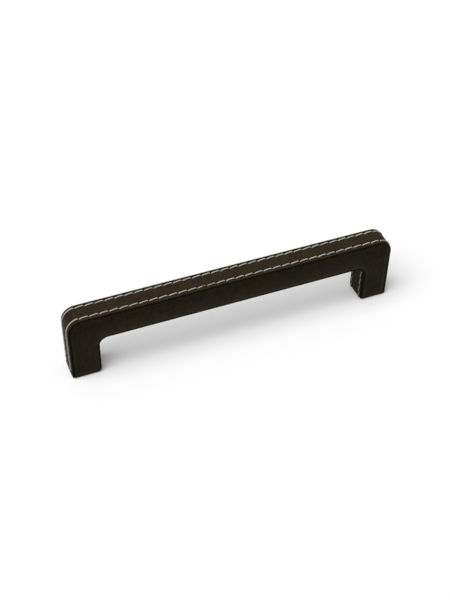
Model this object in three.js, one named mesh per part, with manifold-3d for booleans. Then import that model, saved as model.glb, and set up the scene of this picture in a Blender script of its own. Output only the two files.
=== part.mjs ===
// Leather-covered bow pull: a cast metal bow in a sewn leather cover.
// Millimetres, +Z up. X runs along the pull and -Y is its front side.
// The origin lies between the two feet, on the surface they are screwed to.

import * as THREE from 'three';
import { mergeGeometries, mergeVertices } from 'three/addons/utils/BufferGeometryUtils.js';
import Module from 'manifold-3d';

const wasm = await Module();
wasm.setup();

// Driving dimensions of the covered bow
const holeCentres = 160;
const legThickness = 15.7;
const height = 38;
const width = 13.4;
const barThickness = 15;
const outerCornerRadius = 7.5;
const innerCornerRadius = 4.5;
const edgeRoll = 1.5;

// The cover: sheet thickness, thinned hidden edges, seams and foot turn-ins
const leather = 1.2;
const thinnedEdge = 0.45;
const seamAllowance = 3.3;
const seamHalfAngle = 5;
const seamClearance = 0.05;
const layerClearance = 0.05;
const footTurnIn = 3.4;
const footMitreGap = 0.2;

// The bare metal feet: screw hole, its mouth and the softened edges of the casting
const screwHoleDiameter = 3.3;
const screwHoleDepth = 12;
const mouthDiameter = 4.5;
const drillTipAngle = 118;
const castingChamfer = 0.4;

// The top stitching
const threadDiameter = 0.7;
const stitchInset = 2.85;
const stitchPitch = 5.06;
const outerRowEnd = 4.2;
const innerRowEnd = 3;
const stitchSlant = 0.64;
const shoulderReach = 0.5;
const holeClearance = 0.08;
const threadClearance = 0.02;

// Facets
const outerCornerSteps = 6;
const innerCornerSteps = 4;
const footCornerSteps = 2;
const rollSteps = 2;
const threadSides = 5;
const holeSides = 16;
const smallestRadius = 0.1;

const halfLength = (holeCentres + legThickness) / 2;
const halfGap = halfLength - legThickness;
const bareInset = leather + layerClearance;

const leatherMaterial = (name, color) => new THREE.MeshStandardMaterial({ name, color, roughness: 0.55 });
const materials = {
  casting: new THREE.MeshStandardMaterial({ name: 'cast_zinc', color: 0x8f9194, roughness: 0.4, metalness: 1 }),
  band: leatherMaterial('band_leather', 0x352d22),
  panel: leatherMaterial('panel_leather', 0x312a20),
  thread: new THREE.MeshStandardMaterial({ name: 'sewing_thread', color: 0xc8c6bc, roughness: 0.75 }),
};

// Closed geometry to solid and back

function toSolid(geometry) {
  const bare = geometry.clone();
  bare.deleteAttribute('normal');
  bare.deleteAttribute('uv');
  const merged = mergeVertices(bare, 1e-5);
  const mesh = new wasm.Mesh({
    numProp: 3,
    vertProperties: new Float32Array(merged.attributes.position.array),
    triVerts: new Uint32Array(merged.index.array),
  });
  return new wasm.Manifold(mesh);
}

function toGeometry(solid) {
  const mesh = solid.getMesh();
  const geometry = new THREE.BufferGeometry();
  geometry.setAttribute('position', new THREE.BufferAttribute(new Float32Array(mesh.vertProperties), 3));
  geometry.setIndex(new THREE.BufferAttribute(new Uint32Array(mesh.triVerts), 1));
  geometry.computeVertexNormals();
  return geometry;
}

// The bow's side view, drawn at any inset from the finished surface

function arc(x, z, radius, from, to, steps) {
  const points = [];
  for (let i = 0; i <= steps; i++) {
    const angle = THREE.MathUtils.degToRad(from + ((to - from) * i) / steps);
    points.push(new THREE.Vector2(x + radius * Math.cos(angle), z + radius * Math.sin(angle)));
  }
  return points;
}

function bowOutline(inset) {
  const outerR = Math.max(outerCornerRadius - inset, smallestRadius);
  const innerR = innerCornerRadius + inset;
  const footR = Math.max(edgeRoll - inset, smallestRadius);
  const footZ = inset + footR;
  const outerX = halfLength - inset;
  const innerX = halfGap + inset;
  const innerZ = height - barThickness - innerCornerRadius;
  const topZ = height - inset - outerR;
  return [
    ...arc(footR - outerX, footZ, footR, 180, 270, footCornerSteps),
    ...arc(-innerX - footR, footZ, footR, 270, 360, footCornerSteps),
    ...arc(innerCornerRadius - halfGap, innerZ, innerR, 180, 90, innerCornerSteps),
    ...arc(halfGap - innerCornerRadius, innerZ, innerR, 90, 0, innerCornerSteps),
    ...arc(innerX + footR, footZ, footR, 180, 270, footCornerSteps),
    ...arc(outerX - footR, footZ, footR, 270, 360, footCornerSteps),
    ...arc(outerX - outerR, topZ, outerR, 0, 90, outerCornerSteps),
    ...arc(outerR - outerX, topZ, outerR, 90, 180, outerCornerSteps),
  ];
}

// Lofts the bow outline through stations [inset, depth], depth counted from the front side.
// A capped loft is closed by its first and last outlines, a ring by joining them.
function loftBow(stations, capped) {
  const outlines = stations.map(([inset]) => bowOutline(inset));
  const count = outlines[0].length;
  const positions = [];
  outlines.forEach((outline, i) => {
    outline.forEach((p) => positions.push(p.x, stations[i][1] - width / 2, p.y));
  });
  const faces = [];
  const spans = capped ? stations.length - 1 : stations.length;
  for (let i = 0; i < spans; i++) {
    const here = i * count;
    const next = ((i + 1) % stations.length) * count;
    for (let j = 0; j < count; j++) {
      const k = (j + 1) % count;
      faces.push(here + j, next + j, here + k, next + j, next + k, here + k);
    }
  }
  if (capped) {
    const last = (stations.length - 1) * count;
    for (const [a, b, c] of THREE.ShapeUtils.triangulateShape(outlines[0], [])) {
      faces.push(a, b, c);
    }
    for (const [a, b, c] of THREE.ShapeUtils.triangulateShape(outlines.at(-1), [])) {
      faces.push(last + a, last + c, last + b);
    }
  }
  const geometry = new THREE.BufferGeometry();
  geometry.setAttribute('position', new THREE.Float32BufferAttribute(positions, 3));
  geometry.setIndex(faces);
  return toSolid(geometry);
}

// The quarter-round long edge: 0 degrees is on the side face, 90 on the outer or inner face
function rollPoint(degrees) {
  const angle = THREE.MathUtils.degToRad(degrees);
  return [edgeRoll * (1 - Math.sin(angle)), edgeRoll * (1 - Math.cos(angle))];
}

const fromRear = ([inset, depth]) => [inset, width - depth];

function boxSolid(sizeX, sizeY, sizeZ, x, y, z) {
  return toSolid(new THREE.BoxGeometry(sizeX, sizeY, sizeZ).translate(x, y, z));
}

function eachFoot(make) {
  return make(-holeCentres / 2).add(make(holeCentres / 2));
}

// Metal bow: the bare casting under the cover, with a boss at each foot that the
// turned-in leather surrounds, and a screw hole up each leg

function footBosses(clearance) {
  const sizeX = legThickness - 2 * (footTurnIn - clearance);
  const sizeY = width - 2 * (footTurnIn - clearance);
  const sizeZ = bareInset + castingChamfer + clearance;
  return eachFoot((x) => boxSolid(sizeX, sizeY, sizeZ, x, 0, sizeZ / 2 - clearance));
}

function screwHole(x) {
  const radius = screwHoleDiameter / 2;
  const mouth = mouthDiameter / 2;
  const tip = radius / Math.tan(THREE.MathUtils.degToRad(drillTipAngle / 2));
  const profile = [
    new THREE.Vector2(0, -mouth),
    new THREE.Vector2(mouth + mouth, -mouth),
    new THREE.Vector2(radius, mouth - radius),
    new THREE.Vector2(radius, screwHoleDepth),
    new THREE.Vector2(0, screwHoleDepth + tip),
  ];
  return toSolid(new THREE.LatheGeometry(profile, holeSides).rotateX(Math.PI / 2).translate(x, 0, 0));
}

function metalCore() {
  const softened = bareInset + castingChamfer;
  const front = [
    [softened, bareInset],
    [bareInset, softened],
  ];
  const casting = loftBow([...front, ...front.map(fromRear).reverse()], true);
  return casting.add(footBosses(0)).subtract(eachFoot(screwHole));
}

// Leather side panel: one C-shaped piece. Its edge rolls over to the seam, then runs
// on, thinned, under the bands. At the feet it turns in to the boss.

const underBand = leather - thinnedEdge;

function footTurnIns(extra) {
  const half = legThickness / 2;
  const depth = footTurnIn + extra;
  const shape = new THREE.Shape([
    new THREE.Vector2(extra - half - edgeRoll, -width / 2 - edgeRoll),
    new THREE.Vector2(half + edgeRoll - extra, -width / 2 - edgeRoll),
    new THREE.Vector2(half - depth, depth - width / 2 - extra),
    new THREE.Vector2(depth - half, depth - width / 2 - extra),
  ]);
  const block = { depth: leather + edgeRoll, bevelEnabled: false };
  const prism = (x) => toSolid(new THREE.ExtrudeGeometry(shape, block).translate(x, 0, -edgeRoll));
  return eachFoot(prism);
}

function envelope() {
  const roll = [];
  for (let i = 0; i <= 2 * rollSteps; i++) {
    roll.push(rollPoint((90 * i) / (2 * rollSteps)));
  }
  return loftBow([...roll, ...roll.map(fromRear).reverse()], true);
}

function frontPanel() {
  const stations = [];
  for (let i = 0; i <= rollSteps; i++) {
    stations.push(rollPoint(((45 - seamHalfAngle) * i) / rollSteps));
  }
  stations.push([underBand, underBand - seamClearance]);
  stations.push([underBand, leather + seamAllowance]);
  stations.push([leather, leather + seamAllowance]);
  stations.push([leather, leather]);
  const turnIns = envelope().intersect(footTurnIns(footMitreGap / 2));
  return loftBow(stations, true).add(turnIns).subtract(footBosses(layerClearance));
}

// Leather bands: one strip over the outer faces and one round the finger gap. Both are
// thinned along their edges, where the panels' turned edges lie beneath them.

function bandRing() {
  const front = [];
  for (let i = 0; i <= rollSteps; i++) {
    front.push(rollPoint(45 + seamHalfAngle + ((45 - seamHalfAngle) * i) / rollSteps));
  }
  const thinned = underBand - layerClearance;
  const stepDepth = leather + seamAllowance + layerClearance;
  const under = [
    [leather, stepDepth],
    [thinned, stepDepth],
    [thinned, underBand + seamClearance],
  ];
  return loftBow([...front, ...front.map(fromRear).reverse(), ...under.map(fromRear).reverse(), ...under], false);
}

// Mirrors a finished geometry to the rear side
function mirrored(geometry) {
  const copy = geometry.clone().scale(1, -1, 1);
  const index = copy.index.array;
  for (let i = 0; i < index.length; i += 3) {
    [index[i], index[i + 1]] = [index[i + 1], index[i]];
  }
  copy.computeVertexNormals();
  return copy;
}

// Stitch rows. A face path runs from the left foot, over the bar, to the right foot.

function facePath(x, z, radius) {
  const path = new THREE.Path();
  path.moveTo(-x, 0);
  path.lineTo(-x, z - radius);
  path.absarc(radius - x, z - radius, radius, Math.PI, Math.PI / 2, true);
  path.lineTo(x - radius, z);
  path.absarc(x - radius, z - radius, radius, Math.PI / 2, 0, true);
  path.lineTo(x, 0);
  return path;
}

// A stitch hole's frame: place on the face, direction of sewing, outward normal
function frameAt(path, distance, facing) {
  const t = distance / path.getLength();
  const place = path.getPoint(t);
  const along = path.getTangent(t);
  return {
    place: new THREE.Vector3(place.x, 0, place.y),
    along: new THREE.Vector3(along.x, 0, along.y),
    out: new THREE.Vector3(-along.y, 0, along.x).multiplyScalar(facing),
  };
}

function evenly(from, to) {
  const count = Math.round((to - from) / stitchPitch);
  return Array.from({ length: count + 1 }, (_, i) => from + ((to - from) * i) / count);
}

// Outer rows: even stitches up each leg and along the bar, one long stitch at each corner
function outerRow() {
  const path = facePath(halfLength, height, outerCornerRadius);
  const total = path.getLength();
  const legTop = height - outerCornerRadius;
  const barStitches = Math.round((2 * (halfLength - outerCornerRadius)) / stitchPitch);
  const barHalf = (barStitches * stitchPitch) / 2;
  const leg = evenly(outerRowEnd, legTop);
  const bar = evenly(total / 2 - barHalf, total / 2 + barHalf);
  return { path, facing: 1, holes: [...leg, ...bar, ...leg.map((s) => total - s).reverse()] };
}

// Inner rows: even stitches all the way round the finger gap
function innerRow() {
  const path = facePath(halfGap, height - barThickness, innerCornerRadius);
  return { path, facing: -1, holes: evenly(innerRowEnd, path.getLength() - innerRowEnd) };
}

// A needle hole is a slot set across the stitch line, so that each stitch lies aslant
function needleHoles(row, y) {
  const reach = shoulderReach + threadDiameter / 4;
  const half = threadDiameter / 2 + 2 * holeClearance;
  const side = (row.facing * stitchSlant) / 2;
  const slot = new THREE.Shape([
    new THREE.Vector2(-reach, side - half),
    new THREE.Vector2(reach, -side - half),
    new THREE.Vector2(reach, half - side),
    new THREE.Vector2(-reach, side + half),
  ]);
  const depth = leather + threadDiameter;
  const prisms = row.holes.map((distance) => {
    const { place, along, out } = frameAt(row.path, distance, row.facing);
    const across = new THREE.Vector3().crossVectors(out, along);
    const matrix = new THREE.Matrix4().makeBasis(along, across, out);
    matrix.setPosition(place.x, y, place.z);
    const prism = new THREE.ExtrudeGeometry(slot, { depth, bevelEnabled: false });
    return prism.translate(0, 0, -leather).applyMatrix4(matrix);
  });
  return toSolid(mergeGeometries(prisms));
}

// A curve whose even steps fall on its own points
class SteppedCurve extends THREE.CatmullRomCurve3 {
  getPointAt(t, target) {
    return this.getPoint(t, target);
  }

  getTangentAt(t, target) {
    return this.getTangent(t, target);
  }
}

function threadPoint(row, y, distance, sideways, rise) {
  const { place, out } = frameAt(row.path, distance, row.facing);
  return new THREE.Vector3(0, y + sideways, 0).add(place).addScaledVector(out, rise);
}

// Thread of one row: it rises from a hole, lies along the leather and dips into the next
function threadGeometry(row, y) {
  const lying = threadDiameter / 2 + threadClearance;
  const dip = underBand - threadDiameter / 2 - layerClearance;
  const corner = (Math.PI / 2) * outerCornerRadius;
  const points = [threadPoint(row, y, row.holes[0], 0, -dip)];
  row.holes.slice(1).forEach((end, i) => {
    const start = row.holes[i];
    const first = start + shoulderReach;
    const last = end - shoulderReach;
    const steps = end - start > corner / 2 ? outerCornerSteps : 1;
    for (let step = 0; step <= steps; step++) {
      const part = step / steps;
      const distance = first + (last - first) * part;
      points.push(threadPoint(row, y, distance, stitchSlant * (part - 0.5), lying));
    }
    points.push(threadPoint(row, y, end, 0, -dip));
  });
  const section = new THREE.Shape();
  for (let i = 0; i < threadSides; i++) {
    const angle = (2 * Math.PI * i) / threadSides;
    const corner = [(threadDiameter / 2) * Math.cos(angle), (threadDiameter / 2) * Math.sin(angle)];
    i === 0 ? section.moveTo(...corner) : section.lineTo(...corner);
  }
  const extrudePath = new SteppedCurve(points);
  return new THREE.ExtrudeGeometry(section, { steps: points.length - 1, extrudePath });
}

// The assembled pull

const pull = new THREE.Group();
pull.name = 'bow_pull';

function addNode(name, geometry, material) {
  const mesh = new THREE.Mesh(geometry, material.clone());
  mesh.name = name;
  pull.add(mesh);
}

const rows = { outer: outerRow(), inner: innerRow() };
const sides = { front: stitchInset - width / 2, rear: width / 2 - stitchInset };

const panel = toGeometry(frontPanel());
const lap = footTurnIns(-footMitreGap / 2);
const rearLap = toSolid(mirrored(toGeometry(lap)));
const ring = bandRing().subtract(lap).subtract(rearLap).subtract(footBosses(layerClearance));
const gapBlock = boxSolid(2 * (halfLength - legThickness / 2), 2 * width, 2 * (height - barThickness / 2), 0, 0, 0);
const bands = { outer: ring.subtract(gapBlock), inner: ring.intersect(gapBlock) };

addNode('metal_core', toGeometry(metalCore()), materials.casting);
addNode('front_side_panel', panel, materials.panel);
addNode('rear_side_panel', mirrored(panel), materials.panel);
for (const place of ['outer', 'inner']) {
  let band = bands[place];
  for (const side of ['front', 'rear']) {
    band = band.subtract(needleHoles(rows[place], sides[side]));
    addNode(`${place}_${side}_thread`, threadGeometry(rows[place], sides[side]), materials.thread);
  }
  addNode(`${place}_band`, toGeometry(band), materials.band);
}

export default pull;
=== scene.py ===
"""Looks of the leather-covered bow pull: sewn leather cover, pale top stitching, bare metal feet."""

import math

import bmesh
import bpy
import numpy as np
from mathutils import Matrix, Vector, noise


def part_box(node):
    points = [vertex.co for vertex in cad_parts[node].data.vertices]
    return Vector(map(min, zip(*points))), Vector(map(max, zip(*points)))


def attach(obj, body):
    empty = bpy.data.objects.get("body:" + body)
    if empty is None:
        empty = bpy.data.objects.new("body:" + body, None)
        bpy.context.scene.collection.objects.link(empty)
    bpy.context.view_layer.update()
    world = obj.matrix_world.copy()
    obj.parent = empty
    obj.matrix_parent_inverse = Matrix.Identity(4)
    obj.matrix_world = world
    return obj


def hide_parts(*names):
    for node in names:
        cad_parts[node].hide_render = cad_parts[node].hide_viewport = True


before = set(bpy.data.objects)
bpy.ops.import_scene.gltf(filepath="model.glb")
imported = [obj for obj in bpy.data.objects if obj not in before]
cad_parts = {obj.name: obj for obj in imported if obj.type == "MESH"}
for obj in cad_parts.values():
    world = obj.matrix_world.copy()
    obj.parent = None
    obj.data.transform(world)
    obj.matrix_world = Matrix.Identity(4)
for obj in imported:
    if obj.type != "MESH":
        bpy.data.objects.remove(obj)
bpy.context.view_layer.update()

MM = 0.001

# The cover's outer size, from the frame
HALF_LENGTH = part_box("outer_band")[1][0]
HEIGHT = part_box("outer_band")[1][2]
HALF_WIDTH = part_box("rear_side_panel")[1][1]

# Form of the bow
LEG = 15.7 * MM
BAR = 15.4 * MM
OUTER_CORNER = 7.5 * MM
INNER_CORNER = 4.5 * MM
ROLL = 1.5 * MM
GAP_FOOT_ROLL = 2.4 * MM
HALF_GAP = HALF_LENGTH - LEG
UNDERSIDE = HEIGHT - BAR

# Leather: the sheet, its seams and the ends turned in under the feet
SHEET = 0.5 * MM
SEAM_DEGREES = 23
TOP_SEAM_DEGREES = 44
GAP_SEAM_DEGREES = 34
UNDER_SEAM_DEGREES = 15
LIP_DEGREES = 20
LIP_DROP = 0.5 * MM
GAP_LIP_DROP = 0.25 * MM
SEAM_GAP_DEGREES = 0.4
TURN_IN = 3.4 * MM
MITRE_GAP = 0.12 * MM
STEEPEST_SEAM_DEGREES = 80
BAND_LEAST_LIP = 0.35
PANEL_LEAST_LIP = 0.3
FOOT_NARROWING = 0.35 * MM

# The seam's slow waver along the top of the bar, with a crest at this place
WAVER_DEGREES = 4
WAVER_CREST_X = 3 * MM
WAVER_LENGTH = 78 * MM

# Unevenness of the bands: fullness between the stitch rows, slow sag and small bumps
CROWN = 0.1 * MM
SAG = 0.03 * MM
SAG_SIZE_IN_MM = 9.0
BAND_BUMPS = 0.035 * MM
BAND_BUMP_SIZE = 3.5 * MM

# Unevenness of the side panels: broad and small bumps, which fade out towards the panel's middle line
BROAD_BUMPS = 0.07 * MM
BROAD_BUMP_SIZE = 7 * MM
SMALL_BUMPS = 0.03 * MM
SMALL_BUMP_SIZE = 2.6 * MM
BUMP_FADE = 1.6 * MM

# How far a side panel's face sinks in, and how deep its rolled edge starts
PANEL_SINK = 0.03 * MM
ROLL_SETBACK = 0.04 * MM

# Side panels: how deep the leather lies at each inset, raised over the doubled seam allowance (mm)
PANEL_RIM = (
    (7.3, 0.39), (6.5, 0.38), (5.7, 0.36), (5.1, 0.33), (4.6, 0.29), (4.2, 0.24), (3.8, 0.18), (3.4, 0.11),
    (3.05, 0.055), (2.75, 0.02), (2.45, 0.0), (2.15, 0.0), (1.85, 0.02),
)
RIM_CREST = 2.55 * MM
RIM_CREST_WIDTH = 0.5 * MM
TOP_RIM_SHIFT = 0.7 * MM
RIGHT_RIM_SHIFT = -0.35 * MM

# Top stitching
STITCH_INSET = 2.75 * MM
GAP_STITCH_INSET = 2.35 * MM
STITCH_PITCH = 5.06 * MM
OUTER_ROW_END = 4.2 * MM
INNER_ROW_END = -0.6 * MM
STITCH_SLANT = 0.6 * MM
THREAD = 0.56 * MM
THREAD_LAY = 2.4 * MM

# A stitch over the leather, in mm: how deep it starts, comes up at its ends and swells in its middle
STITCH_DEPTH = 0.78
STITCH_RISE = 0.7
STITCH_SWELL = 0.1

# Lengths at each end of a stitch over which it comes up and leans over
STITCH_END = 0.9 * MM
SLANT_END = 0.6 * MM

# What a row of stitches presses into the leather: a furrow, a little longer than the row, and dimples
FURROW_DEPTH = 0.12 * MM
FURROW_WIDTH = 0.7 * MM
FURROW_BEYOND = 0.6 * MM
FURROW_FADE = 0.35 * MM
DIMPLE_DEPTH = 0.2 * MM
DIMPLE_ACROSS = 0.6 * MM
DIMPLE_ALONG = 0.55 * MM

# Stains of the thread, from 0 to 1: on one stitch of the outer front row, fainter on the next stitch, and all
# along the rows in the finger gap, where the darkening is painted shade as well as stain
STAIN_X = -16.4 * MM
STAIN_REACH = 1.5 * MM
NEXT_STAIN = 0.6
NEXT_STAIN_AWAY = 3.8 * MM
NEXT_STAIN_REACH = 2.2 * MM
GAP_STAIN_AND_SHADE = 0.6

# Painted shade and dirt, from 0 to 1. The painted shade along a seam starts at a share of the way from the
# flat to the seam, which the shift brings nearer to the seam along the bar's top.
BAND_SEAM_SHADE_START = 0.15
BAND_SEAM_SHADE_SHIFT = 0.42
PANEL_SEAM_SHADE_START = 0.05
PANEL_SEAM_SHADE_SHIFT = 0.4
SEAM_SHADE_FADE = 0.3
HOLE_SHADE_AND_DIRT = 0.7
HOLE_SHADE_DEPTH = 0.4 * MM
FOOT_SHADE_AND_DIRT = 0.8
FOOT_SHADE_HEIGHTS = (0.2 * MM, 1.5 * MM)

# Painted shade on the outer band where its face slopes at this angle, round the bow's outer corners
CORNER_SHADE = 0.42
CORNER_SHADE_DEGREES = 52
CORNER_SHADE_SPREAD_DEGREES = 15

# Painted light on the side panels: lighter towards the bar's underside, most over the finger gap
LOW_LIGHT_BEYOND_GAP = 3 * MM
LOW_LIGHT_FADE = 8 * MM
LOW_LIGHT_BELOW_TOP = 3 * MM
LOW_LIGHT_HEIGHT = BAR - 4 * MM
LOW_LIGHT_ANYWHERE = 0.42
LOW_LIGHT_OVER_GAP = 0.58
RIM_HIGHLIGHT_FADE = 12 * MM

# Dyed leathers: dark and light mottle, the colour of worn rolled edges and of the painted highlight on the
# panels' rim, gloss, strength of the relief, and the colour of the painted light low on the panels
LEATHERS = {
    "outer": {
        "dark": (0.0268, 0.0182, 0.0094),
        "light": (0.0438, 0.0302, 0.0166),
        "wear_and_highlight_colour": (0.048, 0.034, 0.0200),
        "gloss": 0.03,
        "relief": 0.8,
    },
    # A darker copy of the outer leather: painted shade for the faces in the finger gap
    "inner": {
        "dark": (0.0205, 0.0163, 0.0062),
        "light": (0.0330, 0.0265, 0.0108),
        "wear_and_highlight_colour": (0.040, 0.030, 0.0160),
        "gloss": 0.025,
        "relief": 0.8,
    },
    # A darker copy of the outer leather: painted shade for the side faces, which the lamp lights less
    "panel": {
        "dark": (0.0128, 0.0094, 0.0047),
        "light": (0.0280, 0.0209, 0.0116),
        "wear_and_highlight_colour": (0.066, 0.0545, 0.0370),
        "gloss": 0.025,
        "relief": 0.9,
        "low_painted_light": (0.053, 0.0455, 0.0310),
    },
}
CREASE_SHADE = 0.22
WEAR_AND_HIGHLIGHT_STRENGTH = 0.8
HOLLOW_SHADE_STRENGTH = 0.4
PORE_STRENGTH = 0.3
SHADE_AND_DIRT_STRENGTH = 0.9
LEATHER_RELIEF = 0.17 * MM
GRAIN_STIR = 0.7 * MM
THREAD_RELIEF = 0.03 * MM
CASTING_RELIEF = 0.05 * MM

# Floor, surround and lamp
FLOOR_GLOW = 0.105
SURROUND_STRENGTH = 0.3
LAMP_STRENGTH = 2.56
LAMP_DEGREES = 55
LAMP_DIRECTION = (-17, -6, 30)

# Fineness of the meshes
ALONG_STEP = 0.5 * MM
ACROSS_STEP = 0.42 * MM
PANEL_STEP = 0.8 * MM
LIP_STEPS = 5
ROLL_STEPS = 5
THREAD_STEP = 0.16 * MM
THREAD_SIDES = 18
LEAST_RADIUS = 0.02 * MM
SMOOTH_ANGLE = math.radians(60)

SIDES = (("front", -1), ("rear", 1))


# Helpers for modelling by hand

def deselect():
    """Leaves nothing selected and nothing in edit mode."""
    if bpy.context.object and bpy.context.object.mode != "OBJECT":
        bpy.ops.object.mode_set(mode="OBJECT")
    bpy.ops.object.select_all(action="DESELECT")


def activate(piece):
    """Makes one object the only selected one."""
    deselect()
    bpy.context.view_layer.objects.active = piece
    piece.select_set(True)


def apply_modifier(piece, kind, **settings):
    """Adds a modifier, sets it and applies it."""
    activate(piece)
    modifier = piece.modifiers.new(kind.title(), kind)
    for name, value in settings.items():
        setattr(modifier, name, value)
    bpy.ops.object.modifier_apply(modifier=modifier.name)


def set_points(mesh, points):
    """Gives a mesh's vertices new places."""
    mesh.vertices.foreach_set("co", np.asarray(points, dtype=np.float32).ravel())
    mesh.update()


def get_points(mesh):
    """A mesh's vertices as rows of x, y, z."""
    points = np.empty(len(mesh.vertices) * 3, dtype=np.float32)
    mesh.vertices.foreach_get("co", points)
    return points.reshape(-1, 3).astype(float)


def add_attribute(mesh, name, values):
    """Stores one number for each vertex."""
    layer = mesh.attributes.new(name, "FLOAT", "POINT")
    layer.data.foreach_set("value", np.asarray(values, dtype=np.float32))


def wander(points, size, seed):
    """Smooth noise from -1 to 1 at each point, with features about size apart."""
    shift = Vector((seed * 7.3, seed * 3.1, seed * 5.7))
    return np.array([noise.noise(Vector(p) / size + shift) for p in points])


# The lines that the bands follow

class FacePath:
    """Where a band's face runs: from under the left foot, up, along and down to the right foot.

    facing is 1 where the face looks away from the finger gap and -1 where it looks into it. round_foot is
    the radius where the face turns in under the foot.
    """

    def __init__(self, half, top, corner, facing, round_foot, stitch_inset):
        lap = TURN_IN - round_foot
        leg = top - corner - round_foot
        quarter = math.pi / 2
        foot = (round_foot * quarter, -facing * quarter)
        bend = (corner * quarter, -quarter)
        bar = (2 * (half - corner), 0.0)
        self.pieces = [(lap, 0.0), foot, (leg, 0.0), bend, bar, bend, (leg, 0.0), foot, (lap, 0.0)]
        self.facing = facing
        self.ends = np.cumsum([0.0] + [length for length, _ in self.pieces])
        self.length = self.ends[-1]
        self.floor = lap + round_foot * quarter - round_foot
        self.by_gap = facing < 0
        self.stitch_inset = stitch_inset
        self.starts = []
        place = np.array([facing * TURN_IN - half, 0.0])
        heading = math.pi if facing > 0 else 0.0
        for length, turn in self.pieces:
            self.starts.append((place, heading))
            place = place + self.step(length, turn, heading, np.array([length]))[0]
            heading += turn

    @staticmethod
    def step(length, turn, heading, gone):
        """Way covered after going some distance along one piece."""
        if turn == 0:
            return np.stack([gone * math.cos(heading), gone * math.sin(heading)], 1)
        radius = length / turn
        angle = heading + gone / radius
        across = radius * (np.sin(angle) - math.sin(heading))
        up = radius * (math.cos(heading) - np.cos(angle))
        return np.stack([across, up], 1)

    def at(self, distance):
        """Places (x, z) and outward normals at distances along the path."""
        distance = np.clip(np.asarray(distance, float), 0, self.length)
        piece = np.clip(np.searchsorted(self.ends, distance, "right") - 1, 0, len(self.pieces) - 1)
        place = np.zeros((len(distance), 2))
        heading = np.zeros(len(distance))
        for i, (length, turn) in enumerate(self.pieces):
            here = piece == i
            gone = distance[here] - self.ends[i]
            start, first = self.starts[i]
            place[here] = start + self.step(length, turn, first, gone)
            heading[here] = first + turn * gone / length
        normal = self.facing * np.stack([-np.sin(heading), np.cos(heading)], 1)
        return place, normal

    def foot_angle(self, distance):
        """Turn under the foot, from 0 on the leg to a quarter turn on the turned-in end."""
        from_end = np.minimum(distance, self.length - distance)
        turned = 1 - (from_end - self.ends[1]) / (self.ends[2] - self.ends[1])
        return np.clip(turned, 0, 1) * math.pi / 2

    def inward(self, distance):
        """How far under the foot a point lies beyond its rounded edge."""
        from_end = np.minimum(distance, self.length - distance)
        return np.clip(self.ends[1] - from_end, 0, None)


outer_path = FacePath(HALF_LENGTH, HEIGHT, OUTER_CORNER, 1, ROLL, STITCH_INSET)
inner_path = FacePath(HALF_GAP, UNDERSIDE, INNER_CORNER, -1, GAP_FOOT_ROLL, GAP_STITCH_INSET)


def evenly(start, end):
    """Distances about one stitch apart, both ends included."""
    return np.linspace(start, end, round((end - start) / STITCH_PITCH) + 1)


def outer_holes():
    """Needle holes of the outer rows: even on legs and bar, with one long stitch at each corner."""
    path = outer_path
    middle = path.length / 2
    bar_half = round(2 * (HALF_LENGTH - OUTER_CORNER) / STITCH_PITCH) * STITCH_PITCH / 2
    leg = path.floor + evenly(OUTER_ROW_END, HEIGHT - OUTER_CORNER)
    return np.concatenate([leg, evenly(middle - bar_half, middle + bar_half), path.length - leg[::-1]])


def inner_holes():
    """Needle holes of the inner rows: even all the way round the finger gap."""
    path = inner_path
    return evenly(path.floor + INNER_ROW_END, path.length - path.floor - INNER_ROW_END)


# Rolled long edges: a quarter round that ends in a lip, where the leather turns into the seam

def ease(value, low, high):
    """Goes smoothly from 0 where value is low to 1 where it is high."""
    part = np.clip((value - low) / (high - low), 0, 1)
    return part * part * (3 - 2 * part)


def seam_angle(by_gap, foot_angle, across, height):
    """Angle of the seam on the rolled edge, from the side panel's face round towards the band's.

    Along the bar's top it lies about halfway round and wavers a little, as a hand lays it. Along the bar's
    underside it lies near the panel's face. At the foot's round corner it runs onto the sole.
    """
    climb = ease(height, HEIGHT - OUTER_CORNER, HEIGHT)
    dip = ease(height, UNDERSIDE - INNER_CORNER, UNDERSIDE)
    waver = WAVER_DEGREES * np.cos(2 * math.pi * (across - WAVER_CREST_X) / WAVER_LENGTH)
    outside = SEAM_DEGREES + (TOP_SEAM_DEGREES + waver - SEAM_DEGREES) * climb
    inside = GAP_SEAM_DEGREES + (UNDER_SEAM_DEGREES - GAP_SEAM_DEGREES) * dip
    base = np.radians(np.where(by_gap, inside, outside))
    return np.arctan2(np.tan(base), np.cos(foot_angle))


def lip_drop(part, by_gap):
    """How far the lip has turned in, from none at part 1 to all at part 0."""
    return np.where(by_gap, GAP_LIP_DROP, LIP_DROP) * (1 - np.sqrt(np.clip(1 - (1 - part) ** 2, 0, 1)))


# Bands: strips of leather, shaped flat, then laid round the bow

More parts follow.
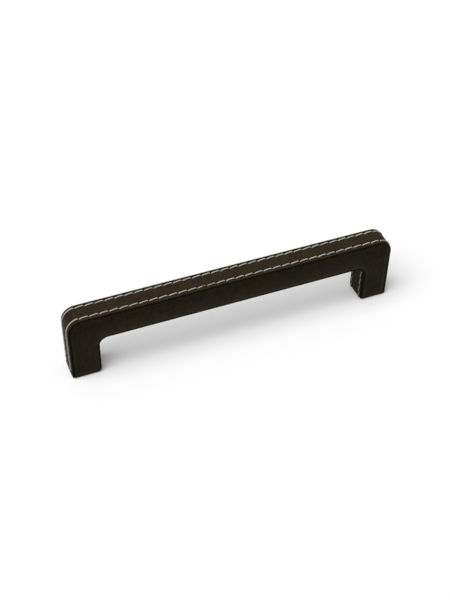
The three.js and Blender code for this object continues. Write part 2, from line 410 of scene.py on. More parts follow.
def band_section(path, along):
    """Rows of (across, rise, edge) over the strip for each distance along it.

    edge runs from 0 on the flat to 1 at the seam.
    """
    foot = path.foot_angle(along)
    share = np.maximum(np.cos(foot), BAND_LEAST_LIP)
    place = path.at(along)[0]
    seam = seam_angle(path.by_gap, foot, place[:, 0], place[:, 1])
    seam = np.minimum(seam, math.radians(STEEPEST_SEAM_DEGREES))
    seam = seam + math.radians(SEAM_GAP_DEGREES) * share
    lip = math.radians(LIP_DEGREES) * share
    narrowing = path.inward(along) + FOOT_NARROWING * (foot / (math.pi / 2)) ** 2
    flat = HALF_WIDTH - ROLL - narrowing
    across, rise, edge = [], [], []
    for part in np.linspace(0, 1, LIP_STEPS + 1):
        angle = seam + lip * part
        radius = ROLL - share * lip_drop(part, path.by_gap)
        across.append(flat + radius * np.cos(angle))
        rise.append(radius * np.sin(angle) - ROLL)
        edge.append(np.full(len(along), 1 - 0.5 * part))
    for part in np.linspace(0, 1, ROLL_STEPS + 1)[1:]:
        angle = seam + lip + (math.pi / 2 - seam - lip) * part
        across.append(flat + ROLL * np.cos(angle))
        rise.append(ROLL * np.sin(angle) - ROLL)
        edge.append(np.full(len(along), 0.5 * (1 - part)))
    half = [np.array(part).T for part in (across, rise, edge)]
    steps = round(2 * (HALF_WIDTH - ROLL) / ACROSS_STEP)
    level = np.linspace(1, -1, steps + 1)[1:-1]
    middle = flat[:, None] * level
    still = np.zeros_like(middle)
    across = np.concatenate([half[0], middle, -half[0][:, ::-1]], 1)
    rise = np.concatenate([half[1], still, half[1][:, ::-1]], 1)
    edge = np.concatenate([half[2], still, half[2][:, ::-1]], 1)
    return across, rise, edge


def stitch_pull(along, across, holes, stitch_inset):
    """How the stitches shape the leather: a furrow under each row and a dimple at each hole."""
    depth = np.zeros_like(across)
    first, last = holes[0], holes[-1]
    inside = 1 / (1 + np.exp(-(along - first + FURROW_BEYOND) / FURROW_FADE))
    inside = inside / (1 + np.exp((along - last - FURROW_BEYOND) / FURROW_FADE))
    nearest = np.abs(along[:, None] - holes[None, :]).min(1)
    for side in (-1, 1):
        off = across - side * (HALF_WIDTH - stitch_inset)
        furrow = FURROW_DEPTH * np.exp(-((off / FURROW_WIDTH) ** 2)) * inside[:, None]
        dimple = np.exp(-((off / DIMPLE_ACROSS) ** 2)) * np.exp(-((nearest / DIMPLE_ALONG) ** 2))[:, None]
        depth += furrow + DIMPLE_DEPTH * dimple
    return depth


def crown(across, stitch_inset):
    """Slight fullness of the strip between its two stitch rows."""
    middle = np.clip(1 - (across / (HALF_WIDTH - stitch_inset)) ** 2, 0, 1)
    return -CROWN * (1 - middle)


def leather_band(name, path, holes):
    """One band of the cover, modelled as a flat grid, shaped, wrapped and given its thickness."""
    columns = round(path.length / ALONG_STEP)
    along = np.linspace(0, path.length, columns + 1)
    across, rise, edge = band_section(path, along)
    rows = across.shape[1] - 1
    deselect()
    bpy.ops.mesh.primitive_grid_add(x_subdivisions=columns, y_subdivisions=rows, size=2)
    band = bpy.context.object
    band.name = name
    mesh = band.data
    grid = get_points(mesh)
    i = np.rint((grid[:, 0] + 1) / 2 * columns).astype(int)
    j = np.rint((grid[:, 1] + 1) / 2 * rows).astype(int)

    pull = stitch_pull(along, across, holes, path.stitch_inset)
    place, normal = path.at(along)
    stretch = np.stack([along / MM, np.zeros_like(along), np.zeros_like(along)], 1)
    sag = SAG * wander(stretch, SAG_SIZE_IN_MM, path.facing)
    lift = rise + (crown(across, path.stitch_inset) - pull + sag[:, None]) * (1 - edge)
    points = np.empty_like(grid)
    points[:, 0] = (place[:, :1] + normal[:, :1] * lift)[i, j]
    points[:, 1] = across[i, j]
    points[:, 2] = (place[:, 1:] + normal[:, 1:] * lift)[i, j]
    points[:, 2] = np.maximum(points[:, 2], 0)
    bumps = BAND_BUMPS * wander(points, BAND_BUMP_SIZE, 4) * (1 - edge)[i, j]
    points += normal_of(normal, i) * bumps[:, None]
    set_points(mesh, points)
    # Painted shade where the outer band's face slopes round the outer corners
    slope = np.degrees(np.arcsin(normal[:, 1]))
    corner_shading = CORNER_SHADE * np.exp(-(((slope - CORNER_SHADE_DEGREES) / CORNER_SHADE_SPREAD_DEGREES) ** 2))
    # Painted shade along the seams, in the stitch furrows and dimples and low on the feet, with some dirt
    start = BAND_SEAM_SHADE_START + BAND_SEAM_SHADE_SHIFT * ease(place[:, 1:], HEIGHT - OUTER_CORNER, HEIGHT)
    shade = shade_and_dirt_mask(pull, edge, start, place[:, 1:])
    add_attribute(mesh, "shade_and_dirt", np.maximum(shade, corner_shading[:, None])[i, j])
    add_attribute(mesh, "wear_and_highlight", wear_and_highlight(edge)[i, j])
    finish_band(band, path.facing)
    return band


def normal_of(normal, i):
    """Path normals as rows of x, y, z for each vertex."""
    rows = np.zeros((len(i), 3))
    rows[:, 0] = normal[i, 0]
    rows[:, 2] = normal[i, 1]
    return rows


def shade_and_dirt_mask(pull, edge, start, height):
    """Painted shade, with some dirt, from 0 to 1: along the seams from start, in the stitches' furrows and
    dimples, and low on the feet next to the floor.
    """
    seam = ease(edge, start, start + SEAM_SHADE_FADE)
    holes = HOLE_SHADE_AND_DIRT * np.clip(pull / HOLE_SHADE_DEPTH, 0, 1)
    floor = FOOT_SHADE_AND_DIRT * (1 - ease(height, *FOOT_SHADE_HEIGHTS))
    return np.clip(seam + holes + floor, 0, 1)


def wear_and_highlight(edge):
    """Where hands polish the leather: on the shoulder of the rolled edge."""
    return np.exp(-(((edge - 0.28) / 0.18) ** 2))


def thicken(piece):
    """Gives a sheet the leather's thickness, inwards from its face, and smooth shading."""
    apply_modifier(piece, "SOLIDIFY", thickness=SHEET, offset=-1.0)
    activate(piece)
    bpy.ops.object.shade_smooth_by_angle(angle=SMOOTH_ANGLE)


def finish_band(band, facing):
    """Turns a band's faces away from the casting and gives it its thickness."""
    furthest = max(band.data.polygons, key=lambda face: face.center.z * facing)
    activate(band)
    if furthest.normal.z * facing < 0:
        bpy.ops.object.mode_set(mode="EDIT")
        bpy.ops.mesh.select_all(action="SELECT")
        bpy.ops.mesh.flip_normals()
        bpy.ops.object.mode_set(mode="OBJECT")
    thicken(band)


# Side panels: one C-shaped sheet each, grown ring by ring from the middle out to the seam

def arc(x, z, radius, start, end, steps):
    """Points on an arc, angles in degrees, without the last one."""
    angle = np.radians(start + (end - start) * np.arange(steps) / steps)
    return np.stack([x + radius * np.cos(angle), z + radius * np.sin(angle)], 1)


def line(start, end, steps):
    """Points on a line, without the last one."""
    part = np.arange(steps)[:, None] / steps
    return np.array(start) + (np.array(end) - np.array(start)) * part


def bow_outline(inset, steps):
    """The bow's side view as points in a left and a right half, set in from the finished surface."""
    foot = max(ROLL - inset, LEAST_RADIUS)
    gap_foot = max(GAP_FOOT_ROLL - inset, LEAST_RADIUS)
    outer = max(OUTER_CORNER - inset, LEAST_RADIUS)
    inner = INNER_CORNER + inset
    out_x = HALF_LENGTH - inset
    in_x = HALF_GAP + inset
    top = HEIGHT - inset
    under = UNDERSIDE + inset
    low = inset + foot
    gap_low = inset + gap_foot
    parts = []
    for side in (-1, 1):
        half = [
            arc(foot - out_x, low, foot, 180, 270, steps["foot_arc"]),
            line((-out_x + foot, inset), (-in_x - gap_foot, inset), steps["foot"]),
            arc(-in_x - gap_foot, gap_low, gap_foot, 270, 360, steps["foot_arc"]),
            line((-in_x, gap_low), (-in_x, UNDERSIDE - INNER_CORNER), steps["inner_leg"]),
            arc(INNER_CORNER - HALF_GAP, UNDERSIDE - INNER_CORNER, inner, 180, 90, steps["inner_arc"]),
            line((INNER_CORNER - HALF_GAP, under), (0, under), steps["half_bar"]),
        ]
        back = [
            line((0, top), (-HALF_LENGTH + OUTER_CORNER, top), steps["half_bar"]),
            arc(outer - out_x, top - outer, outer, 90, 180, steps["outer_arc"]),
            line((-out_x, top - outer), (-out_x, low), steps["outer_leg"]),
        ]
        loop = np.concatenate(back + half)
        if side > 0:
            loop = np.concatenate([loop[:1], loop[1:][::-1]]) * np.array([-1, 1])
        parts.append(loop)
    return parts


def outline_loop(inset, steps):
    """The two halves of the bow's outline joined into one loop."""
    left, right = bow_outline(inset, steps)
    middle = np.array([[0.0, UNDERSIDE + inset]])
    return np.concatenate([left, middle, right[1:]])


def outline_steps():
    """How many points each stretch of the outline has, the same at every inset."""
    return {
        "foot": 18,
        "foot_arc": 7,
        "inner_leg": round((UNDERSIDE - INNER_CORNER) / PANEL_STEP),
        "inner_arc": 12,
        "half_bar": round(HALF_LENGTH / PANEL_STEP),
        "outer_arc": 18,
        "outer_leg": round((HEIGHT - OUTER_CORNER) / PANEL_STEP),
    }


def panel_rings(steps):
    """Rings of a side panel: inset and depth at each outline point, and one edge value for the ring."""
    loop = outline_loop(0, steps)
    count = len(loop)
    end_way = HALF_LENGTH - np.abs(loop[:, 0])
    gap_way = np.abs(loop[:, 0]) - HALF_GAP
    low = loop[:, 1] < GAP_FOOT_ROLL
    sideways = np.clip(1 - np.minimum(end_way / ROLL, gap_way / GAP_FOOT_ROLL), 0, 1)
    foot = np.where(low, np.arccos(sideways), 0.0)
    share = np.where(low, np.maximum(np.cos(foot), PANEL_LEAST_LIP), 1.0)
    by_gap = (gap_way < LEG / 2) & (loop[:, 1] < UNDERSIDE + ROLL)
    seam = seam_angle(by_gap, foot, loop[:, 0], loop[:, 1]) - math.radians(SEAM_GAP_DEGREES) * share
    lip = np.minimum(math.radians(LIP_DEGREES) * share, 0.8 * seam)
    beyond_corner = np.minimum(end_way - ROLL, gap_way - GAP_FOOT_ROLL)
    lap = np.clip(beyond_corner - MITRE_GAP, 0, TURN_IN - ROLL) * low
    rings = []
    insets, depths = np.array(PANEL_RIM).T * MM
    for inset in insets:
        depth = np.interp(inset + rim_shift(loop), insets[::-1], depths[::-1])
        rings.append((np.full(count, inset), depth, 0.0))
    for part in np.linspace(0, 1, ROLL_STEPS + 2)[:-1]:
        angle = (seam - lip) * part
        depth = ROLL - (ROLL - ROLL_SETBACK) * np.cos(angle)
        rings.append((ROLL * (1 - np.sin(angle)), depth, 0.5 * part))
    for part in np.linspace(1, 0, LIP_STEPS + 1):
        angle = seam - lip * part
        radius = ROLL - share * lip_drop(part, by_gap)
        depth = ROLL - radius * np.cos(angle) + lap * (1 - part)
        rings.append((ROLL - radius * np.sin(angle), depth, 1 - 0.5 * part))
    return rings


def rim_shift(loop):
    """How far the raised rim moves towards the panel's edge: outwards at the top, inwards on the right."""
    top = TOP_RIM_SHIFT * ease(loop[:, 1], HEIGHT - OUTER_CORNER, HEIGHT)
    return top + RIGHT_RIM_SHIFT * ease(loop[:, 0], HALF_LENGTH - OUTER_CORNER, HALF_LENGTH)


def ring_points(inset, depth, steps, side):
    """Places of one ring's points, for a front (-1) or rear (1) panel."""
    reach = np.unique(np.round(inset, 9))
    outlines = {value: outline_loop(value, steps) for value in reach}
    loop = np.array([outlines[round(value, 9)][i] for i, value in enumerate(inset)])
    return np.stack([loop[:, 0], side * (HALF_WIDTH - depth), loop[:, 1]], 1)


def side_panel(name, side):
    """One C-shaped side panel, grown from a ring by extruding its edge outwards."""
    steps = outline_steps()
    rings = panel_rings(steps)
    count = len(rings[0][0])
    deselect()
    bpy.ops.mesh.primitive_circle_add(vertices=count, fill_type="NGON")
    panel = bpy.context.object
    panel.name = name
    places = [ring_points(inset, depth, steps, side) for inset, depth, _ in rings]
    set_points(panel.data, places[0])
    bpy.ops.object.mode_set(mode="EDIT")
    work = bmesh.from_edit_mesh(panel.data)
    order = {vertex.index: i for i, vertex in enumerate(work.verts)}
    edges_of = [rings[0][2]] * count
    for (_, _, edge), ring in zip(rings[1:], places[1:]):
        bpy.ops.mesh.extrude_edges_move()
        work.verts.index_update()
        fresh = [vertex for vertex in work.verts if vertex.select]
        for vertex in fresh:
            source = next(link.other_vert(vertex) for link in vertex.link_edges
                          if not link.other_vert(vertex).select)
            order[vertex.index] = order[source.index]
            vertex.co = ring[order[vertex.index]]
        edges_of += [edge] * count
    bmesh.update_edit_mesh(panel.data)
    bpy.ops.object.mode_set(mode="OBJECT")

    mesh = panel.data
    points = get_points(mesh)
    edge = np.array(edges_of)
    inset = np.concatenate([ring for ring, _, _ in rings])
    # Painted highlight along the crest of the panel's raised rim
    crest = inset + np.tile(rim_shift(outline_loop(0, steps)), len(rings)) - RIM_CREST
    crest = np.exp(-((crest / RIM_CREST_WIDTH) ** 2)) * np.tile(rim_highlight(steps), len(rings))
    broad = BROAD_BUMPS * wander(points, BROAD_BUMP_SIZE, 11 + side)
    small = SMALL_BUMPS * wander(points, SMALL_BUMP_SIZE, 5 - side)
    bumps = (broad + small) * np.clip((inset[0] - inset) / BUMP_FADE, 0, 1)
    points[:, 1] += side * (bumps - PANEL_SINK) * (1 - edge)
    set_points(mesh, points)
    # Painted shade along the panel's seam and low on the feet, with some dirt
    height = np.tile(outline_loop(0, steps)[:, 1], len(rings))
    start = PANEL_SEAM_SHADE_START + PANEL_SEAM_SHADE_SHIFT * ease(height, HEIGHT - OUTER_CORNER, HEIGHT)
    add_attribute(mesh, "shade_and_dirt", shade_and_dirt_mask(np.zeros(len(edge)), edge, start, points[:, 2]))
    # The rim's painted highlight, kept in the same attribute as the bands' edge wear
    add_attribute(mesh, "wear_and_highlight", crest * (1 - np.clip(edge * 4, 0, 1)))
    # Painted light, lighter towards the bar's underside
    add_attribute(mesh, "low_painted_light", low_painted_light(points))
    finish_panel(panel, side)
    return panel


def low_painted_light(points):
    """Painted light on the side panels: lighter low on the bar, most over the finger gap, and less on the
    legs.
    """
    over_gap = np.clip((HALF_GAP + LOW_LIGHT_BEYOND_GAP - np.abs(points[:, 0])) / LOW_LIGHT_FADE, 0, 1)
    down = np.clip((HEIGHT - LOW_LIGHT_BELOW_TOP - points[:, 2]) / LOW_LIGHT_HEIGHT, 0, 1)
    return down * (LOW_LIGHT_ANYWHERE + LOW_LIGHT_OVER_GAP * over_gap)


def rim_highlight(steps):
    """Painted highlight on the panel's raised rim: most on its lower and right-hand stretches."""
    loop = outline_loop(0, steps)
    outward = loop - outline_loop(0.5 * MM, steps)
    outward /= np.linalg.norm(outward, axis=1)[:, None]
    brighter_rightwards = 0.3 + 0.7 * ease(loop[:, 0], -HALF_GAP, -HALF_GAP + RIM_HIGHLIGHT_FADE)
    return 0.25 + 0.75 * brighter_rightwards * np.clip(0.9 * outward[:, 0] - 0.8 * outward[:, 1], 0, 1)


def finish_panel(panel, side):
    """Faces a panel outwards, cuts its middle into triangles and gives it its thickness."""
    activate(panel)
    largest = max(panel.data.polygons, key=lambda face: face.area)
    turned = largest.normal.y * side < 0
    bpy.ops.object.mode_set(mode="EDIT")
    bpy.ops.mesh.select_all(action="SELECT")
    if turned:
        bpy.ops.mesh.flip_normals()
    bpy.ops.mesh.remove_doubles(threshold=0.001 * MM)
    bpy.ops.mesh.select_all(action="DESELECT")
    bpy.ops.mesh.select_face_by_sides(number=4, type="GREATER")
    bpy.ops.mesh.quads_convert_to_tris()
    bpy.ops.object.mode_set(mode="OBJECT")
    thicken(panel)


# Threads: one twisted thread for each row, lying on the leather and dipping at the needle holes

def stitch_profile(length, gone):
    """Height of a stitch's thread over the leather: out of one hole and down into the next."""
    near = np.minimum(gone, length - gone)
    swell = STITCH_SWELL * np.sin(math.pi * gone / length)
    return (STITCH_RISE * ease(near, 0.0, STITCH_END) - STITCH_DEPTH + swell) * MM


def thread_route(path, holes, side):
    """Points along the middle of one row's thread."""
    points = []
    for start, end in zip(holes[:-1], holes[1:]):
        length = end - start
        gone = np.linspace(0, length, max(round(length / THREAD_STEP), 12) + 1)[:-1]
        part = gone / length
        swing = np.clip(np.minimum(part, 1 - part) * length / SLANT_END, 0, 1)
        across = side * (HALF_WIDTH - path.stitch_inset) + STITCH_SLANT * (part - 0.5) * swing
        place, normal = path.at(start + gone)
        place = place + normal * stitch_profile(length, gone)[:, None]
        points.append(np.stack([place[:, 0], across, place[:, 1]], 1))
    return np.concatenate(points)


def twisted_section():
    """A curve with the outline of three plies laid together, as the thread's section."""
    curve = bpy.data.curves.new("ply_section", "CURVE")
    spline = curve.splines.new("POLY")
    spline.points.add(THREAD_SIDES - 1)
    for i, point in enumerate(spline.points):
        angle = 2 * math.pi * i / THREAD_SIDES
        radius = THREAD / 2 * (0.76 + 0.24 * abs(math.cos(1.5 * angle)))
        point.co = (radius * math.cos(angle), radius * math.sin(angle), 0, 1)
    spline.use_cyclic_u = True
    section = bpy.data.objects.new("ply_section", curve)
    bpy.context.scene.collection.objects.link(section)
    return section


def sewing_thread(name, path, holes, side):
    """One row's thread, swept along its route with the twist of its plies."""
    route = thread_route(path, holes, side)
    section = twisted_section()
    curve = bpy.data.curves.new(name, "CURVE")
    curve.dimensions = "3D"
    curve.bevel_mode = "OBJECT"
    curve.bevel_object = section
    curve.use_fill_caps = True
    spline = curve.splines.new("POLY")
    spline.points.add(len(route) - 1)
    gone = np.concatenate([[0], np.cumsum(np.linalg.norm(np.diff(route, axis=0), axis=1))])
    for point, place, way in zip(spline.points, route, gone):
        point.co = (*place, 1)
        point.tilt = 2 * math.pi * way / THREAD_LAY
    thread = bpy.data.objects.new(name, curve)
    bpy.context.scene.collection.objects.link(thread)
    activate(thread)
    bpy.ops.object.convert(target="MESH")
    thread = bpy.context.object
    bpy.data.objects.remove(section)
    activate(thread)
    bpy.ops.object.mode_set(mode="EDIT")
    bpy.ops.mesh.select_all(action="SELECT")
    bpy.ops.mesh.normals_make_consistent(inside=False)
    bpy.ops.object.mode_set(mode="OBJECT")
    bpy.ops.object.shade_smooth_by_angle(angle=SMOOTH_ANGLE)
    add_attribute(thread.data, "stain_and_shade", stain_and_gap_shade(name, get_points(thread.data)))
    return thread


def stain_and_gap_shade(name, points):
    """How stained a thread is at two stitches of the outer front row, and how darkened all along in the
    finger gap, by painted shade as well as stain.
    """
    if name.startswith("inner"):
        return np.full(len(points), GAP_STAIN_AND_SHADE)
    if name != "outer_front_stitches":
        return np.zeros(len(points))
    past = points[:, 0] - STAIN_X
    mark = np.exp(-((past / STAIN_REACH) ** 4))
    return mark + NEXT_STAIN * np.exp(-(((past - NEXT_STAIN_AWAY) / NEXT_STAIN_REACH) ** 4))


# Materials

def new_material(name):
    """A new node material, with its node tree and its Principled shader."""
    material = bpy.data.materials.new(name)
    material.use_nodes = True
    tree = material.node_tree
    shader = tree.nodes["Principled BSDF"]
    return material, tree, shader


def value_group(name, inputs, outputs):
    """A node group with named number inputs and outputs, and its input and output nodes."""
    group = bpy.data.node_groups.new(name, "ShaderNodeTree")
    for label, default in inputs.items():
        socket = group.interface.new_socket(label, in_out="INPUT", socket_type="NodeSocketFloat")
        socket.default_value = default
    for label, kind in outputs.items():
        group.interface.new_socket(label, in_out="OUTPUT", socket_type=kind)
    return group, group.nodes.new("NodeGroupInput"), group.nodes.new("NodeGroupOutput")


def math_node(tree, operation, first, second):
    """A Math node whose inputs are sockets or numbers."""
    node = tree.nodes.new("ShaderNodeMath")
    node.operation = operation
    for socket, value in zip(node.inputs, (first, second)):
        if isinstance(value, (int, float)):
            socket.default_value = value
        else:
            tree.links.new(value, socket)
    return node.outputs[0]


def noise_node(tree, place, scale, detail=2.0, roughness=0.5):
    """A Noise Texture's number output."""
    node = tree.nodes.new("ShaderNodeTexNoise")
    node.inputs["Scale"].default_value = scale
    node.inputs["Detail"].default_value = detail
    node.inputs["Roughness"].default_value = roughness
    tree.links.new(place, node.inputs["Vector"])
    return node.outputs["Fac"]


def mix_colour(tree, factor, first, second):
    """A colour Mix node. factor is a socket, first and second are sockets or colours."""
    node = tree.nodes.new("ShaderNodeMix")
    node.data_type = "RGBA"
    tree.links.new(factor, node.inputs[0])
    for socket, value in ((node.inputs[6], first), (node.inputs[7], second)):
        if isinstance(value, tuple):
            socket.default_value = (*value, 1)
        else:
            tree.links.new(value, socket)
    return node.outputs[2]


def spread(tree, value, low, high, to_low=0.0, to_high=1.0):
    """A Map Range node, clamped."""
    node = tree.nodes.new("ShaderNodeMapRange")
    node.inputs["From Min"].default_value = low
    node.inputs["From Max"].default_value = high
    node.inputs["To Min"].default_value = to_low
    node.inputs["To Max"].default_value = to_high
    tree.links.new(value, node.inputs["Value"])
    return node.outputs["Result"]


def add_relief(tree, shader, height, strength, depth):
    """A Bump node that lets a height pattern tilt the surface's shading."""
    bump = tree.nodes.new("ShaderNodeBump")
    bump.inputs["Strength"].default_value = strength
    bump.inputs["Distance"].default_value = depth
    tree.links.new(height, bump.inputs["Height"])
    tree.links.new(bump.outputs["Normal"], shader.inputs["Normal"])


def leather_grain_group():
    """Leather's surface: pebbled cells drawn out along the hide, hollows between them, pores and mottle."""
    inputs = {"Cell scale": 1150.0, "Pore scale": 5200.0}
    outputs = {label: "NodeSocketFloat" for label in ("Height", "Mottle", "Hollows", "Pores")}
    group, taken, given = value_group("leather_grain", inputs, outputs)
    place = group.nodes.new("ShaderNodeTexCoord").outputs["Object"]
    hide = group.nodes.new("ShaderNodeMapping")
    hide.vector_type = "TEXTURE"
    hide.inputs["Rotation"].default_value = (0.0, math.radians(-50), 0.0)
    hide.inputs["Scale"].default_value = (1.6, 1.0, 1.0)
    group.links.new(place, hide.inputs["Vector"])
    stirred = group.nodes.new("ShaderNodeVectorMath")
    stirred.operation = "MULTIPLY_ADD"
    warp = group.nodes.new("ShaderNodeTexNoise")
    warp.inputs["Scale"].default_value = 800.0
    group.links.new(place, warp.inputs["Vector"])
    group.links.new(warp.outputs["Color"], stirred.inputs[0])
    stirred.inputs[1].default_value = (GRAIN_STIR, GRAIN_STIR, GRAIN_STIR)
    group.links.new(hide.outputs[0], stirred.inputs[2])
    cells = group.nodes.new("ShaderNodeTexVoronoi")
    cells.feature = "DISTANCE_TO_EDGE"
    group.links.new(stirred.outputs[0], cells.inputs["Vector"])
    group.links.new(taken.outputs["Cell scale"], cells.inputs["Scale"])
    hills = spread(group, cells.outputs["Distance"], 0.0, 0.26)
    pores = group.nodes.new("ShaderNodeTexVoronoi")
    group.links.new(place, pores.inputs["Vector"])
    group.links.new(taken.outputs["Pore scale"], pores.inputs["Scale"])
    pits = spread(group, pores.outputs["Distance"], 0.12, 0.3, 1.0, 0.0)
    fine = noise_node(group, place, 4200.0, 3.0)
    waves = noise_node(group, hide.outputs[0], 560.0, 3.0)
    height = math_node(group, "MULTIPLY", hills, 0.5)
    height = math_node(group, "ADD", height, math_node(group, "MULTIPLY", fine, 0.3))
    height = math_node(group, "SUBTRACT", height, math_node(group, "MULTIPLY", pits, 0.2))
    height = math_node(group, "ADD", height, math_node(group, "MULTIPLY", waves, 1.8))
    group.links.new(height, given.inputs["Height"])
    group.links.new(math_node(group, "SUBTRACT", 1.0, hills), given.inputs["Hollows"])
    patches = math_node(group, "MULTIPLY", noise_node(group, place, 260.0, 4.0, 0.6), 0.5)
    patches = math_node(group, "ADD", patches, math_node(group, "MULTIPLY", waves, 0.5))
    group.links.new(spread(group, patches, 0.38, 0.62), given.inputs["Mottle"])
    group.links.new(pits, given.inputs["Pores"])
    return group


def attribute(tree, name):
    """A number stored on the mesh."""
    node = tree.nodes.new("ShaderNodeAttribute")
    node.attribute_name = name
    return node.outputs["Fac"]


def leather_material(name, grain, dark, light, wear_and_highlight_colour, gloss, relief, low_painted_light=None):
    """Dyed leather: mottled brown with darker pores; painted shade in the grain's hollows, along the seams,
    at the stitch holes, at the feet and on the outer corners, with some dirt there; paler where worn, with a
    painted highlight on the panels' rim and painted light low on the panels.
    """
    material, tree, shader = new_material(name)
    surface = tree.nodes.new("ShaderNodeGroup")
    surface.node_tree = grain
    colour = mix_colour(tree, surface.outputs["Mottle"], dark, light)
    # Painted light: the side panels lighter towards the bar's underside and over the finger gap
    if low_painted_light:
        low_light_mask = spread(tree, surface.outputs["Mottle"], 0.0, 1.0, 0.6, 1.0)
        low_light_mask = math_node(tree, "MULTIPLY", attribute(tree, "low_painted_light"), low_light_mask)
        colour = mix_colour(tree, low_light_mask, colour, low_painted_light)
    # Paler where the bands' rolled edges are worn, and a painted highlight along the side panels' rim
    patchy = spread(tree, surface.outputs["Mottle"], 0.0, 1.0, 0.45, 1.0)
    wear_and_highlight_here = math_node(tree, "MULTIPLY", attribute(tree, "wear_and_highlight"), patchy)
    colour = mix_colour(tree, math_node(tree, "MULTIPLY", wear_and_highlight_here, WEAR_AND_HIGHLIGHT_STRENGTH), colour, wear_and_highlight_colour)
    # Painted shade in the grain's hollows, along the seams, stitch holes, feet and outer corners (with some
    # dirt there), and darker pores
    shade = tuple(value * CREASE_SHADE for value in dark)
    marks = (
        (surface.outputs["Hollows"], HOLLOW_SHADE_STRENGTH),
        (surface.outputs["Pores"], PORE_STRENGTH),
        (attribute(tree, "shade_and_dirt"), SHADE_AND_DIRT_STRENGTH),
    )
    for mark, strength in marks:
        colour = mix_colour(tree, math_node(tree, "MULTIPLY", mark, strength), colour, shade)
    tree.links.new(colour, shader.inputs["Base Color"])
    rough = spread(tree, surface.outputs["Mottle"], 0.0, 1.0, 0.5, 0.62)
    rough = math_node(tree, "SUBTRACT", rough, math_node(tree, "MULTIPLY", wear_and_highlight_here, 0.12))
    tree.links.new(rough, shader.inputs["Roughness"])
    shader.inputs["Specular IOR Level"].default_value = gloss
    add_relief(tree, shader, surface.outputs["Height"], relief, LEATHER_RELIEF)
    return material


def thread_material():
    """Waxed polyester thread: off-white, a little fibrous, yellow-brown where it is stained, and darker in
    the finger gap by painted shade as well as stain.
    """
    material, tree, shader = new_material("waxed_thread")
    place = tree.nodes.new("ShaderNodeTexCoord").outputs["Object"]
    fibres = noise_node(tree, place, 9000.0, 3.0, 0.6)
    soiled = noise_node(tree, place, 330.0, 3.0, 0.6)
    colour = mix_colour(tree, spread(tree, soiled, 0.35, 0.7), (0.58, 0.57, 0.50), (0.46, 0.455, 0.39))
    colour = mix_colour(tree, spread(tree, fibres, 0.45, 0.75, 0.0, 0.4), colour, (0.40, 0.39, 0.34))
    # Stain on the marked stitches; in the finger gap the darkening is painted shade as well as stain
    stain_and_shade = math_node(tree, "MULTIPLY", attribute(tree, "stain_and_shade"), 0.9)
    colour = mix_colour(tree, stain_and_shade, colour, (0.165, 0.135, 0.032))
    tree.links.new(colour, shader.inputs["Base Color"])
    tree.links.new(spread(tree, fibres, 0.3, 0.7, 0.5, 0.75), shader.inputs["Roughness"])
    shader.inputs["Specular IOR Level"].default_value = 0.35
    add_relief(tree, shader, fibres, 0.5, THREAD_RELIEF)
    return material


def casting_material():
    """Bare zinc casting: satin grey metal, faintly pitted and clouded by tumbling."""
    material, tree, shader = new_material("zinc_casting")
    place = tree.nodes.new("ShaderNodeTexCoord").outputs["Object"]
    cloud = noise_node(tree, place, 500.0, 4.0, 0.6)
    pits = noise_node(tree, place, 3800.0, 3.0, 0.55)
    colour = mix_colour(tree, spread(tree, cloud, 0.35, 0.65), (0.42, 0.43, 0.44), (0.29, 0.3, 0.31))
    tree.links.new(colour, shader.inputs["Base Color"])
    shader.inputs["Metallic"].default_value = 1.0
    tree.links.new(spread(tree, cloud, 0.3, 0.7, 0.36, 0.52), shader.inputs["Roughness"])
    add_relief(tree, shader, pits, 0.35, CASTING_RELIEF)
    return material


def dress(piece, material):
    """Gives a piece one material."""
    piece.data.materials.clear()
    piece.data.materials.append(material)


# Assembly

def place_piece(piece, node, material):
    """Gives a finished piece its material, hides the node that it replaces and puts it under the root body.
    """
    dress(piece, material)
    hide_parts(node)
    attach(piece, "root")


def build_cover():
    """Bands, side panels and threads, each over the node it stands for."""
    grain = leather_grain_group()
    leathers = {part: leather_material(f"{part}_leather", grain, **look) for part, look in LEATHERS.items()}
    thread = thread_material()
    rows = {"outer": (outer_path, outer_holes()), "inner": (inner_path, inner_holes())}
    for place, (path, holes) in rows.items():
        band = leather_band(f"{place}_leather_band", path, holes)
        place_piece(band, f"{place}_band", leathers[place])
        for side_name, side in SIDES:
            stitches = sewing_thread(f"{place}_{side_name}_stitches", path, holes, side)
            place_piece(stitches, f"{place}_{side_name}_thread", thread)
    for side_name, side in SIDES:
        panel = side_panel(f"{side_name}_leather_panel", side)
        place_piece(panel, f"{side_name}_side_panel", leathers["panel"])


def dress_core():
    """The casting keeps its own solid and gets its metal finish."""
    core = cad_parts["metal_core"]
    dress(core, casting_material())


# Stage, light and camera

def seen_directly(tree):
    """1 for rays from the camera, in gloss or through glass, and 0 for all others."""
    ray = tree.nodes.new("ShaderNodeLightPath")
    either = math_node(tree, "MAXIMUM", ray.outputs["Is Camera Ray"], ray.outputs["Is Glossy Ray"])
    return math_node(tree, "MAXIMUM", either, ray.outputs["Is Transmission Ray"])


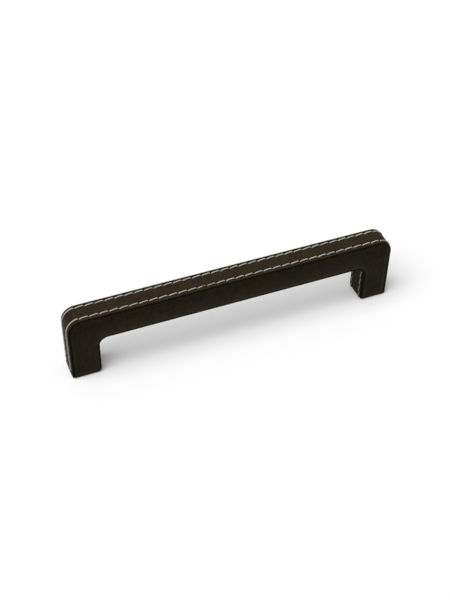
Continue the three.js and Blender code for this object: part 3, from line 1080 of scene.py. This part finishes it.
def build_floor():
    """A large pale floor that shows white to the camera and keeps the pull's shadow."""
    deselect()
    bpy.ops.mesh.primitive_plane_add(size=6.0, location=(0, 0, -0.02 * MM))
    floor = bpy.context.object
    floor.name = "studio_floor"
    material = bpy.data.materials.new("white_floor")
    material.use_nodes = True
    tree = material.node_tree
    tree.nodes.clear()
    seen = tree.nodes.new("ShaderNodeBsdfDiffuse")
    seen.inputs["Color"].default_value = (0.93, 0.93, 0.93, 1)
    glow = tree.nodes.new("ShaderNodeEmission")
    glow.inputs["Color"].default_value = (1, 1, 1, 1)
    glow.inputs["Strength"].default_value = FLOOR_GLOW
    bright = tree.nodes.new("ShaderNodeAddShader")
    tree.links.new(seen.outputs[0], bright.inputs[0])
    tree.links.new(glow.outputs[0], bright.inputs[1])
    dim = tree.nodes.new("ShaderNodeBsdfDiffuse")
    dim.inputs["Color"].default_value = (0.32, 0.32, 0.32, 1)
    mixed = tree.nodes.new("ShaderNodeMixShader")
    tree.links.new(seen_directly(tree), mixed.inputs[0])
    tree.links.new(dim.outputs[0], mixed.inputs[1])
    tree.links.new(bright.outputs[0], mixed.inputs[2])
    output = tree.nodes.new("ShaderNodeOutputMaterial")
    tree.links.new(mixed.outputs[0], output.inputs["Surface"])
    dress(floor, material)


def build_world():
    """A dim even surround that shows white to the camera, in gloss and through glass."""
    world = bpy.data.worlds.new("studio")
    bpy.context.scene.world = world
    world.use_nodes = True
    tree = world.node_tree
    background = tree.nodes["Background"]
    background.inputs["Color"].default_value = (1, 1, 1, 1)
    strength = math_node(tree, "MAXIMUM", seen_directly(tree), SURROUND_STRENGTH)
    tree.links.new(strength, background.inputs["Strength"])


def build_light():
    """One soft lamp, high on the left and a little in front."""
    lamp = bpy.data.lights.new("key_lamp", "SUN")
    lamp.energy = LAMP_STRENGTH
    lamp.angle = math.radians(LAMP_DEGREES)
    key = bpy.data.objects.new("key_lamp", lamp)
    bpy.context.scene.collection.objects.link(key)
    towards = Vector(LAMP_DIRECTION)
    key.rotation_euler = towards.to_track_quat("Z", "Y").to_euler()
    key.location = towards.normalized() * 0.8


def build_camera():
    """The photograph's camera, solved from the pull's corners and stitches."""
    yaw = math.radians(22.342)
    pitch = math.radians(43.406)
    roll = math.radians(0.874)
    forward = Vector((math.sin(yaw) * math.cos(pitch), math.cos(yaw) * math.cos(pitch), -math.sin(pitch)))
    right = Vector((math.cos(yaw), -math.sin(yaw), 0))
    up = right.cross(forward)
    turned = math.cos(roll) * right + math.sin(roll) * up
    risen = turned.cross(forward)
    data = bpy.data.cameras.new("photo_camera")
    data.sensor_fit = "VERTICAL"
    data.sensor_height = 36.0
    data.lens = 65.145
    camera = bpy.data.objects.new("photo_camera", data)
    bpy.context.scene.collection.objects.link(camera)
    axes = Matrix((turned, risen, -forward)).transposed().to_4x4()
    axes.translation = Vector((-157.15, -373.53, 402.47)) * MM
    camera.matrix_world = axes
    bpy.context.scene.camera = camera


bpy.context.scene.view_settings.view_transform = "Standard"
build_camera()
build_cover()
dress_core()
build_floor()
build_world()
build_light()
deselect()
